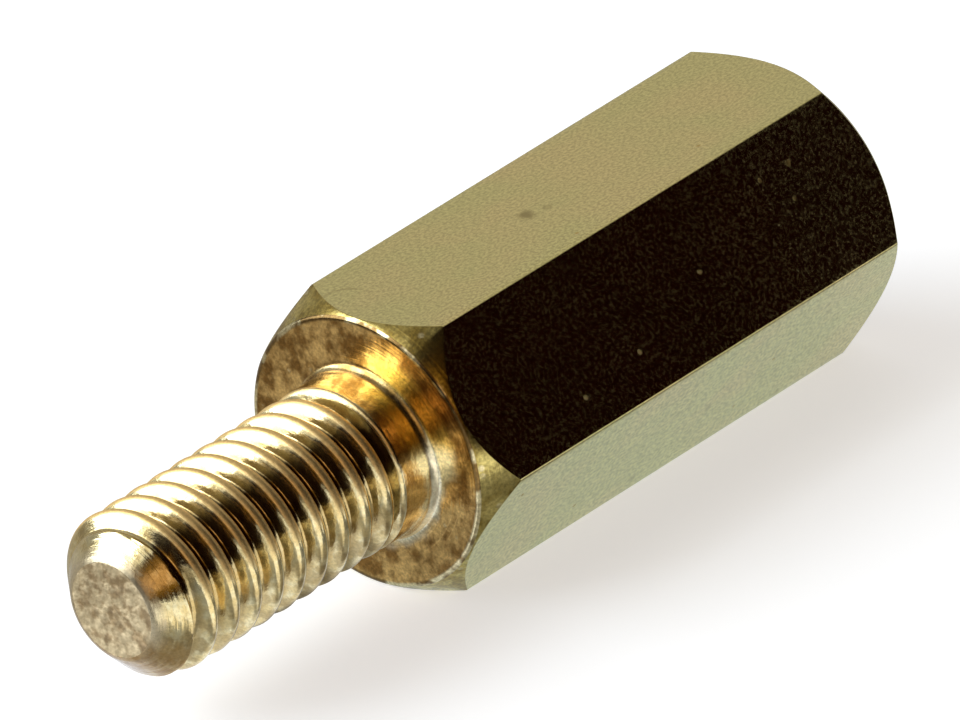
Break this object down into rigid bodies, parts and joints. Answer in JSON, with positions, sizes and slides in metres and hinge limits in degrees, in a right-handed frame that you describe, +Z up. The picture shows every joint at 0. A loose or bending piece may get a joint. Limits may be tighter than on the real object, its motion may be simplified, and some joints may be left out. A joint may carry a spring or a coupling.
{
  "type": "hex standoff",
  "caption": "Male-female hex standoff: hexagonal brass body with chamfered ends, a threaded stud on one end and a tapped blind hole in the other.",
  "frame": {"origin": "centre of the footprint, on the surface that the part lies on", "axes": "+X along the part's axis towards the tapped end, the stud towards -X; +Z up, square to the flat that it lies on"},
  "size_m": [0.014, 0.0046, 0.004],
  "materials": {
    "brass": "bright turned brass, drawn flats with fine pits and specks"
  },
  "bodies": {
    "root": {"standoff": "brass"}
  },
  "joints": []
}
